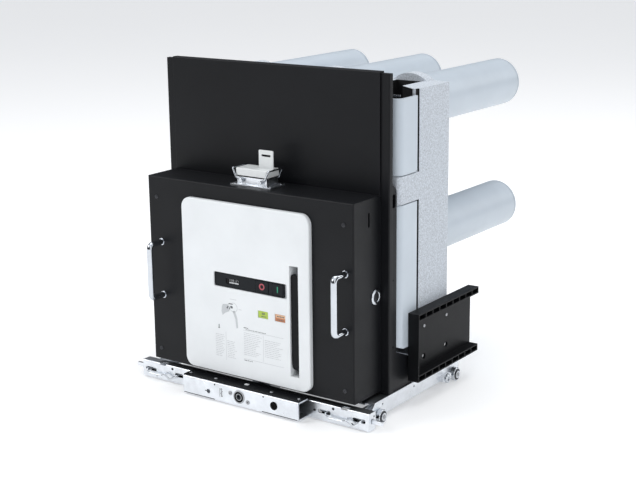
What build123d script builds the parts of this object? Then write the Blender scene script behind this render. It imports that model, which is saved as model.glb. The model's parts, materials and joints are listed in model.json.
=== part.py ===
"""Withdrawable vacuum circuit breaker on its racking truck.

Millimetres, +X to the right seen from the front, the front faces -Y, +Z up.
The origin is on the floor under the middle of the overall size. Depths are
measured rearwards from the housing's front face, and y_at() places them.
"""
import os
from build123d import *

os.makedirs("parts", exist_ok=True)

# Poles
pole_pitch = 150.0
pole_width = 124.0
pole_bottom_z = 76.0
pole_top_z = 488.0
pole_front_depth = 95.0
barrier_front_depth = 146.0
pole_rear_depth = 243.0
chimney_width = 46.0
chimney_mouth_width = 104.0
chimney_mouth_depth = 166.0
chimney_height = 122.0
chimney_wall = 19.0
band_bottom_z = 322.0
band_top_z = 364.0
groove_width = 5.0
groove_depth = 3.5
cover_wall = 3.0
cover_corner_radius = 13.0
cover_point_z = 98.0
cover_top_drop = 9.0
cover_turn_radius = 6.0
cover_point_rise = 6.0
cover_point_run = 16.0
cover_gap = 1.5
boss_radius = 45.5
boss_reach = 3.0
core_radius = 34.0

# Contact arms
upper_arm_z = 454.0
arm_pitch = 212.5
tube_radius = 39.0
tube_wall = 6.0
tube_length = 274.0
tube_rim_radius = 2.4
tube_groove_start = 5.5
tube_groove_width = 1.4
tube_groove_depth = 1.0
conductor_radius = 17.0
finger_count = 18
finger_bore_radius = 17.5
finger_thickness = 6.0
finger_length = 62.0
finger_gap = 1.6
finger_recess = 12.0
ring_radius = 1.8
hub_length = 16.0

# Truck
wheel_radius = 11.0
wheel_width = 7.0
wheel_bore = 8.0
wheel_side_gap = 0.4
axle_clearance = 0.05
stud_head_radius = 6.0
stud_head_length = 1.6
front_wheel_depth = 44.0
wheelbase = 222.0
rail_outer_x = 210.0
rail_bottom_z = 9.5
rail_height = 24.5
rail_sheet = 2.5
rail_flange = 16.0
rail_front_depth = 22.0
rail_rear_overhang = 17.0
rail_nose_radius = 12.0
rail_hole_radius = 1.6
rail_hole_depths = (54.0, 144.0)
rail_hole_drop = 7.5
rail_lug_length = 26.0
rail_lug_reach = 6.0
rail_lug_height = 9.0
rail_lug_gap = 5.5
deck_sheet = 2.5
deck_front_depth = 30.0
deck_rear_depth = 258.0
deck_flange = 16.0

# Front beam and racking gear
beam_clearance = 2.0
beam_height = 28.0
beam_width = 443.0
beam_face_depth = -1.0
beam_section_depth = 18.0
beam_sheet = 2.0
beam_notch_x = 178.0
beam_notch_width = 12.0
beam_notch_length = 7.0
slot_inner_x = 141.5
slot_pitch = 62.5
slot_height = 6.4
bolt_travel = 10.0
bolt_wire_radius = 1.6
bolt_bar_height = 6.0
bolt_bar_thickness = 4.0
bolt_reach = 18.5
racking_width = 225.0
racking_reach = 26.0
racking_height = 29.5
racking_sheet = 2.5
racking_top_sheet = 1.5
screw_z = 18.5
screw_radius = 8.0
screw_collar_radius = 10.5
screw_length = 276.0
screw_clearance = 0.08
socket_radius = 4.5
socket_depth = 14.0
nut_length = 24.0
nut_width = 36.0
nut_wall = 4.0
side_hole_x = -61.0
side_hole_z = 15.7
side_hole_radius = 3.5
guide_bar_gap = 0.8
guide_bar_thickness = 5.0
guide_bar_length = 232.0

# Mechanism housing and its front
housing_width = 390.0
housing_bottom_z = 38.0
housing_top_z = 340.5
housing_depth = 69.0
housing_edge_radius = 2.5
cover_width = 243.0
cover_bottom_z = 42.5
cover_height = 274.0
cover_proud = 7.5
cover_front_radius = 16.0
cover_edge_radius = 2.2
cover_seat = 0.3
strip_left_x = -59.5
strip_width = 133.5
strip_bottom_z = 183.5
strip_height = 22.5
strip_radius = 3.0
strip_thickness = 3.0
strip_lip = 6.5
strip_sink = 2.2
button_height = 17.0
button_travel = 3.0
button_depth = 7.0
button_gap = 0.5
button_proud = 0.6
off_button_x = 32.5
off_button_width = 24.0
on_button_x = 62.0
on_button_width = 20.0
counter_x = -24.5
counter_z = 193.5
counter_width = 26.0
counter_height = 8.5
spring_window_x = 34.8
position_window_x = 67.0
window_z = 151.5
window_width = 19.5
window_height = 11.5
window_sink = 1.2
window_thickness = 2.0
lever_x = 93.3
lever_width = 13.6
lever_side_gap = 1.2
lever_pivot_depth = 12.0
lever_pivot_z = 85.0
lever_boss_radius = 17.0
lever_top_z = 221.0
lever_thickness = 11.0
lever_pin_radius = 4.0
recess_top_z = 236.0
recess_end_gap = 4.5
recess_wall = 1.5
recess_back_gap = 3.0
handle_x = 175.5
handle_offset = 5.0
handle_bottom_z = 149.0
handle_pitch = 87.0
handle_reach = 34.0
handle_wire_radius = 4.6
handle_bend_radius = 7.5
handle_foot_radius = 5.6
handle_foot_thickness = 1.0
lock_depth = 57.0
lock_z = 190.0
lock_radius = 12.0
lock_bore_radius = 7.5
lock_proud = 2.5
lock_sink = 8.0
side_slot_depth = 40.0
side_slot_z = 309.5
side_slot_length = 22.0
side_slot_width = 4.0

# Shield and mechanism frame
shield_width = 420.0
shield_bottom_z = 35.0
shield_top_z = 518.0
shield_sheet = 2.0
shield_flange = 8.5
panel_sheet = 2.5
panel_fold = 11.0
frame_sheet = 2.5
frame_top_z = 354.0
frame_side_clearance = 0.3
frame_corner_radius = 14.0
foot_rear_depth = 140.0
foot_top_z = 96.0
foot_slope = 20.0
frame_slot_z = 330.0
frame_slot_length = 21.0
frame_slot_width = 8.0

# Shutter guides
guide_front_depth = 122.0
guide_length = 186.0
guide_bottom_z = 43.0
guide_height = 108.0
guide_web = 4.0
guide_flange_width = 19.0
guide_flange_height = 11.0
guide_rib = 2.0
guide_cells = 9
guide_hole_radius = 4.5
guide_hole_depth = 163.0
guide_hole_pitch = 68.0
guide_hole_z = 71.5

# Control connector
plug_x = -2.0
plug_depth = 34.0
plug_flange_width = 76.0
plug_flange_depth = 38.0
plug_flange_sheet = 2.0
plug_base_width = 56.0
plug_base_depth = 28.0
plug_base_height = 13.0
plug_seal = 2.5
plug_cover_height = 11.0
plug_cover_overhang = 2.0
tab_x = 14.5
tab_width = 27.0
tab_height = 28.0
tab_sheet = 1.5
tab_slot_width = 17.0
tab_slot_height = 3.4
tab_slot_drop = 6.5
tab_foot = 8.0
latch_wire_radius = 1.3
latch_pivot_x = 18.0
latch_pivot_height = 8.0
latch_pin_radius = 1.4
latch_eye_radius = 3.0
latch_eye_length = 2.6
latch_eye_gap = 2.5
latch_end_gap = 4.0
latch_elbow = 9.0

# Worked out from the sizes above
overall_rear_depth = pole_rear_depth + tube_length
origin_depth = (overall_rear_depth - handle_reach) / 2
lower_arm_z = upper_arm_z - arm_pitch
pole_centres = {"left": -pole_pitch, "middle": 0.0, "right": pole_pitch}
sides = {"left": -1, "right": 1}
shield_depth = housing_depth + panel_sheet
frame_front_depth = shield_depth + shield_sheet
frame_rear_depth = pole_front_depth
rear_wheel_depth = front_wheel_depth + wheelbase
rail_rear_depth = rear_wheel_depth + rail_rear_overhang
rail_top_z = rail_bottom_z + rail_height
beam_bottom_z = beam_clearance
beam_rear_depth = beam_face_depth + beam_section_depth
beam_middle_z = beam_bottom_z + beam_height / 2
slot_z = beam_middle_z + 0.5
racking_bottom_z = beam_bottom_z + 1.0
racking_front_depth = beam_face_depth - racking_reach
deck_top_z = rail_top_z - rail_sheet
housing_height = housing_top_z - housing_bottom_z
housing_middle_z = housing_bottom_z + housing_height / 2
cover_middle_z = cover_bottom_z + cover_height / 2
strip_x = strip_left_x + strip_width / 2
strip_z = strip_bottom_z + strip_height / 2
strip_back_depth = strip_sink + strip_thickness - cover_proud


def y_at(depth):
    """The Y of a plane that lies depth behind the housing's front face."""
    return depth - origin_depth


def front_plane(depth):
    """A sketch plane facing the front, with X to the right and Z up."""
    return Plane(origin=(0, y_at(depth), 0), x_dir=(1, 0, 0), z_dir=(0, -1, 0))


def side_plane(x):
    """A sketch plane across X, whose first axis is +Y and second is +Z."""
    return Plane(origin=(x, 0, 0), x_dir=(0, 1, 0), z_dir=(1, 0, 0))


def save(piece, name):
    """Label a finished piece and write it as one STEP file."""
    piece.part.label = name
    export_step(piece.part, f"parts/{name}.step")


def block(x_min, x_max, depth_min, depth_max, z_min, z_max, mode=Mode.ADD):
    """A box given by its limits, added to or cut from the open piece."""
    with Locations(((x_min + x_max) / 2, y_at((depth_min + depth_max) / 2), (z_min + z_max) / 2)):
        Box(x_max - x_min, depth_max - depth_min, z_max - z_min, mode=mode)


def rod_x(x_min, x_max, depth, z, radius, mode=Mode.ADD):
    """A round bar along X."""
    with Locations(Location(((x_min + x_max) / 2, y_at(depth), z), (0, 90, 0))):
        Cylinder(radius, x_max - x_min, mode=mode)


def rod_y(x, depth_min, depth_max, z, radius, mode=Mode.ADD):
    """A round bar along Y."""
    with Locations(Location((x, y_at((depth_min + depth_max) / 2), z), (90, 0, 0))):
        Cylinder(radius, depth_max - depth_min, mode=mode)


def wire(points, radius, bend):
    """A bent round wire through the given points."""
    with BuildLine() as path:
        FilletPolyline(*points, radius=bend)
    with BuildSketch(Plane(origin=path.line @ 0, z_dir=path.line % 0)) as section:
        Circle(radius)
    sweep(sections=section.sketch, path=path.line)


# Pole housings: speckled mouldings with a flared open chimney, grooves and a boss round each arm
def pole_housing(name, x):
    half = pole_width / 2
    with BuildPart() as housing:
        with BuildSketch(Plane.XY.offset(pole_bottom_z)):
            with Locations((x, y_at((pole_front_depth + pole_rear_depth) / 2))):
                RectangleRounded(pole_width, pole_rear_depth - pole_front_depth, cover_corner_radius / 2)
        extrude(amount=pole_top_z - pole_bottom_z)
        upper_front = band_top_z
        pocket = barrier_front_depth + groove_width
        block(x - half, x + half, pole_front_depth, barrier_front_depth, upper_front, pole_top_z, Mode.SUBTRACT)
        block(x - half, x + half, pole_front_depth, barrier_front_depth, pole_bottom_z, band_bottom_z,
              Mode.SUBTRACT)
        turn_depth = barrier_front_depth - cover_turn_radius
        turn_z = band_top_z + cover_turn_radius
        with BuildSketch(side_plane(x - half)):
            with Locations((y_at(turn_depth + cover_turn_radius / 2), turn_z - cover_turn_radius / 2)):
                Rectangle(cover_turn_radius, cover_turn_radius)
            with Locations((y_at(turn_depth), turn_z)):
                Circle(cover_turn_radius, mode=Mode.SUBTRACT)
        extrude(amount=pole_width)
        for side in (-1, 1):
            edge = x + side * half
            inner = edge - side * groove_depth
            low, high = sorted((edge, inner))
            block(low, high, barrier_front_depth, pocket, band_top_z, pole_top_z, Mode.SUBTRACT)
            block(low, high, barrier_front_depth, pocket, pole_bottom_z, band_bottom_z, Mode.SUBTRACT)
        with BuildSketch(Plane.XY.offset(pole_top_z - chimney_height)):
            with BuildLine():
                Polyline(
                    (x - chimney_mouth_width / 2, y_at(barrier_front_depth)),
                    (x - chimney_width / 2, y_at(chimney_mouth_depth)),
                    (x - chimney_width / 2, y_at(pole_rear_depth - chimney_wall)),
                    (x + chimney_width / 2, y_at(pole_rear_depth - chimney_wall)),
                    (x + chimney_width / 2, y_at(chimney_mouth_depth)),
                    (x + chimney_mouth_width / 2, y_at(barrier_front_depth)),
                    close=True,
                )
            make_face()
        extrude(amount=chimney_height, mode=Mode.SUBTRACT)
        for arm_z in (upper_arm_z, lower_arm_z):
            rod_y(x, pole_rear_depth - chimney_wall, pole_rear_depth + boss_reach, arm_z, boss_radius)
        rod_y(x, pole_front_depth + cover_wall + cover_seat, barrier_front_depth + 1, lower_arm_z,
              core_radius)
        for arm_z in (upper_arm_z, lower_arm_z):
            rod_y(x, pole_rear_depth, pole_rear_depth + boss_reach, arm_z, tube_radius + cover_seat,
                  Mode.SUBTRACT)
    save(housing, name)


# Front covers of the poles: a smooth shell above the band and one below it
def pole_cover(name, x):
    half = pole_width / 2
    rear = barrier_front_depth - 0.5
    tiers = ((band_top_z + cover_gap, pole_top_z - cover_top_drop), (cover_point_z, band_bottom_z - cover_gap))
    with BuildPart() as cover:
        for low, high in tiers:
            with BuildSketch(Plane.XY.offset(low)):
                with BuildLine():
                    FilletPolyline(
                        (x - half, y_at(rear)),
                        (x - half, y_at(pole_front_depth)),
                        (x + half, y_at(pole_front_depth)),
                        (x + half, y_at(rear)),
                        radius=cover_corner_radius,
                    )
                    offset(amount=-cover_wall, side=Side.LEFT)
                make_face()
            extrude(amount=high - low)
        turn_z = band_top_z + cover_gap
        turns = edges().filter_by(Axis.X).filter_by_position(Axis.Z, turn_z - 0.1, turn_z + 0.1)
        fillet(turns.filter_by_position(Axis.Y, y_at(rear) - 0.1, y_at(rear) + 0.1), radius=cover_turn_radius)
        with BuildSketch(side_plane(x - half - 1)):
            with BuildLine():
                Polyline(
                    (y_at(pole_front_depth - 1), cover_point_z - 1),
                    (y_at(pole_front_depth - 1), cover_point_z + cover_point_rise),
                    (y_at(pole_front_depth + cover_point_run), cover_point_z - 1),
                    close=True,
                )
            make_face()
        extrude(amount=pole_width + 2, mode=Mode.SUBTRACT)
    save(cover, name)


# Contact arms: an insulating tube, and the conductor with its ring of spring fingers inside
def arm_tube(name, x, z):
    front = y_at(pole_rear_depth)
    rear = front + tube_length
    with BuildPart() as tube:
        with BuildSketch(Plane.YZ.offset(x)):
            with BuildLine():
                Polyline(
                    (front, z + tube_radius - tube_wall),
                    (front, z + tube_radius),
                    (rear, z + tube_radius),
                    (rear, z + tube_radius - tube_wall),
                    close=True,
                )
            make_face()
            rim = vertices().filter_by(lambda v: v.Y > rear - 0.1)
            fillet(rim, radius=tube_rim_radius)
        revolve(axis=Axis((x, 0, z), (0, 1, 0)))
        with BuildSketch(Plane.YZ.offset(x)):
            with Locations((rear - tube_groove_start, z + tube_radius)):
                Rectangle(tube_groove_width, 2 * tube_groove_depth)
        revolve(axis=Axis((x, 0, z), (0, 1, 0)), mode=Mode.SUBTRACT)
    save(tube, name)


def tulip_contact(name, x, z):
    tip = pole_rear_depth + tube_length - finger_recess
    root = tip - finger_length
    turn = 360 / finger_count
    outer = finger_bore_radius + finger_thickness
    with BuildPart() as tulip:
        rod_y(x, pole_rear_depth, root + hub_length, z, conductor_radius)
        with BuildSketch(Plane(origin=(x, y_at(root), z), x_dir=(1, 0, 0), z_dir=(0, 1, 0))):
            Circle(outer)
            Circle(finger_bore_radius, mode=Mode.SUBTRACT)
            for step in range(finger_count):
                with Locations(Rotation(0, 0, step * turn) * Location((outer, 0))):
                    Rectangle(outer, finger_gap, mode=Mode.SUBTRACT)
        extrude(amount=finger_length)
        rod_y(x, root, root + hub_length, z, outer - finger_thickness / 2)
        for share in (0.4, 0.72):
            with BuildSketch(Plane.YZ.offset(x)):
                with Locations((y_at(root + share * finger_length), z + outer)):
                    Circle(ring_radius)
            revolve(axis=Axis((x, 0, z), (0, 1, 0)))
    save(tulip, name)


# Side rails: folded channels that open inwards, with a rounded nose over the front wheel
def side_rail(name, side):
    outer = side * rail_outer_x
    with BuildPart() as rail:
        with BuildSketch(side_plane(outer - side * rail_flange / 2)):
            with BuildLine():
                Polyline(
                    (y_at(rail_front_depth), rail_top_z - rail_nose_radius),
                    (y_at(rail_front_depth), rail_bottom_z + rail_nose_radius),
                    (y_at(rail_front_depth + rail_nose_radius), rail_bottom_z),
                    (y_at(rail_rear_depth), rail_bottom_z),
                    (y_at(rail_rear_depth), rail_top_z),
                    (y_at(rail_front_depth + rail_nose_radius), rail_top_z),
                    close=True,
                )
            make_face()
        extrude(amount=rail_flange / 2, both=True)
        low, high = sorted((outer - side * rail_sheet, outer - side * (rail_flange + 1)))
        block(low, high, rail_front_depth - 1, rail_rear_depth - rail_sheet, rail_bottom_z + rail_sheet,
              rail_top_z - rail_sheet, Mode.SUBTRACT)
        for depth in (front_wheel_depth, rear_wheel_depth):
            low, high = sorted((outer - side * 1, outer + side * (wheel_side_gap + wheel_width + 0.3)))
            rod_x(low, high, depth, wheel_radius, wheel_bore / 2 - axle_clearance)
            low, high = sorted((high if side > 0 else low, outer + side * (
                wheel_side_gap + wheel_width + 0.3 + stud_head_length)))
            rod_x(low, high, depth, wheel_radius, stud_head_radius)
        lug_rear = rear_wheel_depth - wheel_radius - rail_lug_gap
        low, high = sorted((outer - side * 0.5, outer + side * rail_lug_reach))
        block(low, high, lug_rear - rail_lug_length, lug_rear, rail_bottom_z, rail_bottom_z + rail_lug_height)
        for depth in rail_hole_depths:
            low, high = sorted((outer + side, outer - side * (rail_sheet + 1)))
            rod_x(low, high, depth, rail_top_z - rail_hole_drop, rail_hole_radius, Mode.SUBTRACT)
    save(rail, name)


def wheel(name, side, depth):
    near = side * (rail_outer_x + wheel_side_gap)
    with BuildPart() as roller:
        with BuildSketch(side_plane(near)):
            with Locations((y_at(depth), wheel_radius)):
                Circle(wheel_radius)
                Circle(wheel_bore / 2, mode=Mode.SUBTRACT)
        extrude(amount=side * wheel_width)
        rims = edges().filter_by(GeomType.CIRCLE).group_by(SortBy.RADIUS)[-1]
        chamfer(rims, length=0.6)
    save(roller, name)


# Truck deck between the rails, and under it the nut that the racking screw runs through
def truck_deck():
    half = rail_outer_x - rail_flange
    with BuildPart() as deck:
        block(-half, half, deck_front_depth, deck_rear_depth, deck_top_z - deck_sheet, deck_top_z)
        block(-half, half, deck_rear_depth - deck_sheet, deck_rear_depth, deck_top_z - deck_flange, deck_top_z)
        for side in (-1, 1):
            low, high = sorted((side * half, side * (rail_outer_x - rail_sheet)))
            block(low, high, deck_front_depth + 20, deck_rear_depth - 20, deck_top_z - deck_sheet, deck_top_z)
        rod_y(0, deck_front_depth - 1, deck_rear_depth + 1, screw_z, screw_radius + screw_clearance,
              Mode.SUBTRACT)
    save(deck, "truck_deck")
    with BuildPart() as nut:
        block(-nut_width / 2, nut_width / 2, deck_front_depth, deck_front_depth + nut_length,
              screw_z - screw_radius - nut_wall, deck_top_z - deck_sheet)
        rod_y(0, deck_front_depth - 1, deck_front_depth + nut_length + 1, screw_z,
              screw_radius + screw_clearance, Mode.SUBTRACT)
    save(nut, "racking_nut")


# Front beam: a folded channel with closed ends, wire slots and two guide bars
def front_beam():
    half = beam_width / 2
    inner_half = half - beam_sheet
    with BuildPart() as beam:
        with BuildSketch(Plane.XY.offset(beam_bottom_z)):
            with Locations((0, y_at((beam_face_depth + beam_rear_depth) / 2))):
                Rectangle(beam_width, beam_section_depth)
        extrude(amount=beam_height)
        fillet(edges().filter_by(Axis.X), radius=beam_sheet)
        block(-inner_half, inner_half, beam_face_depth + beam_sheet, beam_rear_depth + 1,
              beam_bottom_z + beam_sheet, beam_bottom_z + beam_height - beam_sheet, Mode.SUBTRACT)
        for side in (-1, 1):
            for slot_x in (slot_inner_x, slot_inner_x + slot_pitch):
                with BuildSketch(front_plane(beam_face_depth - 1)):
                    with Locations((side * slot_x, slot_z)):
                        SlotOverall(bolt_travel + 2 * slot_height, slot_height)
                extrude(amount=-beam_sheet - 2, mode=Mode.SUBTRACT)
            bar_low, bar_high = sorted((side * (rail_outer_x - rail_sheet - 5),
                                        side * (rail_outer_x - rail_sheet - 5 - guide_bar_thickness)))
            block(bar_low, bar_high, beam_face_depth + beam_sheet / 2,
                  beam_face_depth + guide_bar_length, slot_z + bolt_bar_height / 2 + guide_bar_gap,
                  beam_bottom_z + beam_height - beam_sheet / 2)
            end_low, end_high = sorted((side * (half - beam_sheet - 1), side * (half + 1)))
            block(end_low, end_high, beam_face_depth + 6, beam_face_depth + 6 + bolt_bar_thickness + 2,
                  slot_z - bolt_bar_height / 2 - 1, slot_z + bolt_bar_height / 2 + 1, Mode.SUBTRACT)
            block(side * beam_notch_x - beam_notch_width / 2, side * beam_notch_x + beam_notch_width / 2,
                  beam_face_depth - 1, beam_face_depth + beam_notch_length,
                  beam_bottom_z + beam_height - beam_sheet - 0.5, beam_bottom_z + beam_height + 1,
                  Mode.SUBTRACT)
        rod_y(0, beam_face_depth - 1, beam_face_depth + beam_sheet + 1, screw_z,
              screw_radius + screw_clearance, Mode.SUBTRACT)
    save(beam, "front_beam")


# Locking bolts that slide inside the beam, each with a bent wire pull in front
def slide_bolt(name, side):
    half = beam_width / 2
    bar_depth = beam_face_depth + 7
    outer_slot = slot_inner_x + slot_pitch
    wire_left = -outer_slot if side < 0 else slot_inner_x
    wire_right = wire_left + slot_pitch
    shift = side * bolt_travel / 2
    face = y_at(beam_face_depth)
    bar_y = y_at(bar_depth + bolt_bar_thickness / 2)
    with BuildPart() as bolt:
        low, high = sorted((side * (slot_inner_x - 12), side * (half + bolt_reach)))
        block(low, high, bar_depth, bar_depth + bolt_bar_thickness, slot_z - bolt_bar_height / 2,
              slot_z + bolt_bar_height / 2)
        wire(
            (
                (wire_left + shift, bar_y, slot_z),
                (wire_left + shift, face - 5, slot_z),
                (wire_left + shift + 6, face - 6, slot_z - 5),
                (wire_right + shift - 30, face - 6, slot_z - 5),
                (wire_right + shift - 24, face - 6, slot_z - 1.5),
                (wire_right + shift - 12, face - 6, slot_z - 8.5),
                (wire_right + shift, face - 5, slot_z),
                (wire_right + shift, bar_y, slot_z),
            ),
            bolt_wire_radius,
            2.0,
        )
    save(bolt, name)


# Racking housing: a shallow channel in front of the beam, open at both ends
def racking_housing():
    half = racking_width / 2
    top = racking_bottom_z + racking_height
    with BuildPart() as housing:
        with BuildSketch(side_plane(-half)):
            with BuildLine():
                Polyline(
                    (y_at(beam_face_depth), racking_bottom_z),
                    (y_at(racking_front_depth), racking_bottom_z),
                    (y_at(racking_front_depth), top),
                    (y_at(beam_face_depth), top),
                    (y_at(beam_face_depth), top - racking_sheet),
                    (y_at(racking_front_depth + racking_sheet), top - racking_sheet),
                    (y_at(racking_front_depth + racking_sheet), racking_bottom_z + racking_sheet),
                    (y_at(beam_face_depth), racking_bottom_z + racking_sheet),
                    close=True,
                )
            make_face()
        extrude(amount=racking_width)
        fillet(edges().filter_by(Axis.X).sort_by(Axis.Y)[:2], radius=racking_sheet * 0.8)
        rod_y(0, racking_front_depth - 1, racking_front_depth + racking_sheet + 1, screw_z,
              screw_collar_radius + screw_clearance, Mode.SUBTRACT)
        rod_y(side_hole_x, racking_front_depth - 1, racking_front_depth + racking_sheet + 1, side_hole_z,
              side_hole_radius, Mode.SUBTRACT)
    save(housing, "racking_housing")
    with BuildPart() as plate:
        block(-half, half, racking_front_depth + racking_sheet, -1 * screw_clearance, top,
              top + racking_top_sheet)
    save(plate, "racking_cover_plate")


# Racking screw with the crank socket in its front end
def racking_screw():
    start = racking_front_depth - 0.8
    with BuildPart() as screw:
        rod_y(0, start, start + 10, screw_z, screw_collar_radius)
        rod_y(0, start, start + screw_length, screw_z, screw_radius)
        rod_y(0, start - 1, start + socket_depth, screw_z, socket_radius, Mode.SUBTRACT)
    save(screw, "racking_screw")


# Mechanism housing: the black box behind the cover, cut for the lever recess and the keys
def mechanism_housing():
    half = housing_width / 2
    with BuildPart() as housing:
        block(-half, half, 0, housing_depth, housing_bottom_z, housing_top_z)
        front_edges = edges().group_by(Axis.Y)[0]
        fillet(front_edges, radius=housing_edge_radius)
        recess_half = lever_width / 2 + lever_side_gap + recess_wall + cover_seat
        block(lever_x - recess_half, lever_x + recess_half, -1,
              lever_pivot_depth + lever_boss_radius + recess_back_gap + recess_wall + cover_seat,
              lever_pivot_z - lever_boss_radius - recess_end_gap - recess_wall - cover_seat,
              recess_top_z + recess_wall + cover_seat, Mode.SUBTRACT)
        keys_left = off_button_x - off_button_width / 2 - 2
        keys_right = on_button_x + on_button_width / 2 + 2
        block(keys_left, keys_right, -1, strip_back_depth + button_depth + 2 * button_travel,
              strip_z - button_height / 2 - 2, strip_z + button_height / 2 + 2, Mode.SUBTRACT)
        rod_x(half - lock_sink, half + 1, lock_depth, lock_z, lock_radius + cover_seat, Mode.SUBTRACT)
        with BuildSketch(side_plane(half + 1)):
            with Locations((y_at(side_slot_depth), side_slot_z)):
                SlotOverall(side_slot_length, side_slot_width, rotation=90)
        extrude(amount=-6, mode=Mode.SUBTRACT)
    save(housing, "mechanism_housing")


# Front cover: a thick rounded plate with the lever's deep recess, the strip's bed and two windows
def front_cover():
    recess_half = lever_width / 2 + lever_side_gap
    recess_low = lever_pivot_z - lever_boss_radius - recess_end_gap
    recess_back = lever_pivot_depth + lever_boss_radius + recess_back_gap
    with BuildPart() as cover:
        with BuildSketch(front_plane(0)):
            with Locations((0, cover_middle_z)):
                RectangleRounded(cover_width, cover_height, cover_front_radius)
        extrude(amount=cover_proud)
        fillet(faces().sort_by(Axis.Y)[0].edges(), radius=cover_edge_radius)
        block(lever_x - recess_half - recess_wall, lever_x + recess_half + recess_wall, -1,
              recess_back + recess_wall, recess_low - recess_wall, recess_top_z + recess_wall)
        block(lever_x - recess_half, lever_x + recess_half, -cover_proud - 1, recess_back, recess_low,
              recess_top_z, Mode.SUBTRACT)
        rod_x(lever_x - recess_half - recess_wall - 1, lever_x + recess_half + recess_wall + 1,
              lever_pivot_depth, lever_pivot_z, lever_pin_radius + axle_clearance, Mode.SUBTRACT)
        with BuildSketch(front_plane(-cover_proud - 1)):
            with Locations((strip_x + strip_lip / 2, strip_z)):
                RectangleRounded(strip_width + strip_lip, strip_height + 2 * cover_seat, strip_radius)
        extrude(amount=-1 - strip_sink - strip_thickness, mode=Mode.SUBTRACT)
        keys_left = off_button_x - off_button_width / 2 - 2
        keys_right = on_button_x + on_button_width / 2 + 2
        block(keys_left, keys_right, -cover_proud, 1, strip_z - button_height / 2 - 2,
              strip_z + button_height / 2 + 2, Mode.SUBTRACT)
        for window_x in (spring_window_x, position_window_x):
            block(window_x - window_width / 2, window_x + window_width / 2, -cover_proud - 1,
                  window_sink + window_thickness - cover_proud, window_z - window_height / 2,
                  window_z + window_height / 2, Mode.SUBTRACT)
    save(cover, "front_cover")


def front_fittings():
    with BuildPart() as strip:
        with BuildSketch(front_plane(strip_back_depth)):
            with Locations((strip_x, strip_z)):
                RectangleRounded(strip_width, strip_height, strip_radius - cover_seat)
            for key_x, key_width in ((off_button_x, off_button_width), (on_button_x, on_button_width)):
                with Locations((key_x, strip_z)):
                    Rectangle(key_width + 2 * button_gap, button_height + 2 * button_gap,
                              mode=Mode.SUBTRACT)
            with Locations((counter_x, counter_z)):
                Rectangle(counter_width, counter_height, mode=Mode.SUBTRACT)
        extrude(amount=strip_thickness)
    save(strip, "control_strip")
    for name, key_x, key_width in (("off_button", off_button_x, off_button_width),
                                   ("on_button", on_button_x, on_button_width)):
        with BuildPart() as key:
            with BuildSketch(front_plane(strip_back_depth - strip_thickness - button_proud)):
                with Locations((key_x, strip_z)):
                    RectangleRounded(key_width, button_height, 1.5)
            extrude(amount=-button_depth)
            fillet(faces().sort_by(Axis.Y)[0].edges(), radius=0.6)
        save(key, name)
    with BuildPart() as counter:
        block(counter_x - counter_width / 2, counter_x + counter_width / 2,
              strip_back_depth - strip_thickness + 0.8, strip_back_depth,
              counter_z - counter_height / 2, counter_z + counter_height / 2)
    save(counter, "operation_counter")
    for name, window_x in (("spring_indicator", spring_window_x), ("position_indicator", position_window_x)):
        with BuildPart() as window:
            block(window_x - window_width / 2, window_x + window_width / 2, window_sink - cover_proud,
                  window_sink + window_thickness - cover_proud, window_z - window_height / 2,
                  window_z + window_height / 2)
        save(window, name)


# Charging lever: a round boss on its pin and a flat handle that fills the recess
def charging_lever():
    front = lever_pivot_depth - lever_boss_radius
    with BuildPart() as lever:
        with BuildSketch(side_plane(lever_x - lever_width / 2)):
            with Locations((y_at(lever_pivot_depth), lever_pivot_z)):
                Circle(lever_boss_radius)
            with BuildLine():
                Polyline(
                    (y_at(front), lever_pivot_z),
                    (y_at(front), lever_top_z),
                    (y_at(front + lever_thickness), lever_top_z),
                    (y_at(front + lever_thickness), lever_pivot_z),
                    close=True,
                )
            make_face()
        extrude(amount=lever_width)
        fillet(edges().filter_by(Axis.X).group_by(Axis.Z)[-1], radius=3)
        low, high = lever_x - lever_width / 2, lever_x + lever_width / 2
        pin_end = lever_side_gap + recess_wall - cover_seat
        rod_x(low - pin_end, high + pin_end, lever_pivot_depth, lever_pivot_z, lever_pin_radius)
    save(lever, "charging_lever")


def grab_handle(name, side):
    x = side * handle_x + handle_offset
    top = handle_bottom_z + handle_pitch
    bar = y_at(handle_wire_radius - handle_reach)
    face = y_at(0)
    with BuildPart() as handle:
        wire(
            (
                (x, face, handle_bottom_z),
                (x, bar, handle_bottom_z),
                (x, bar, top),
                (x, face, top),
            ),
            handle_wire_radius,
            handle_bend_radius,
        )
        for foot_z in (handle_bottom_z, top):
            rod_y(x, -handle_foot_thickness, 0, foot_z, handle_foot_radius)
    save(handle, name)


def side_lock():
    half = housing_width / 2
    with BuildPart() as lock:
        rod_x(half - lock_sink, half + lock_proud, lock_depth, lock_z, lock_radius)
        rod_x(half - lock_sink / 2, half + lock_proud + 1, lock_depth, lock_z, lock_bore_radius,
              Mode.SUBTRACT)
        rod_x(half - lock_sink, half, lock_depth, lock_z, lock_bore_radius - 2)
        chamfer(edges().filter_by(GeomType.CIRCLE).group_by(Axis.X)[-1], length=0.8)
    save(lock, "side_lock")


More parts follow.
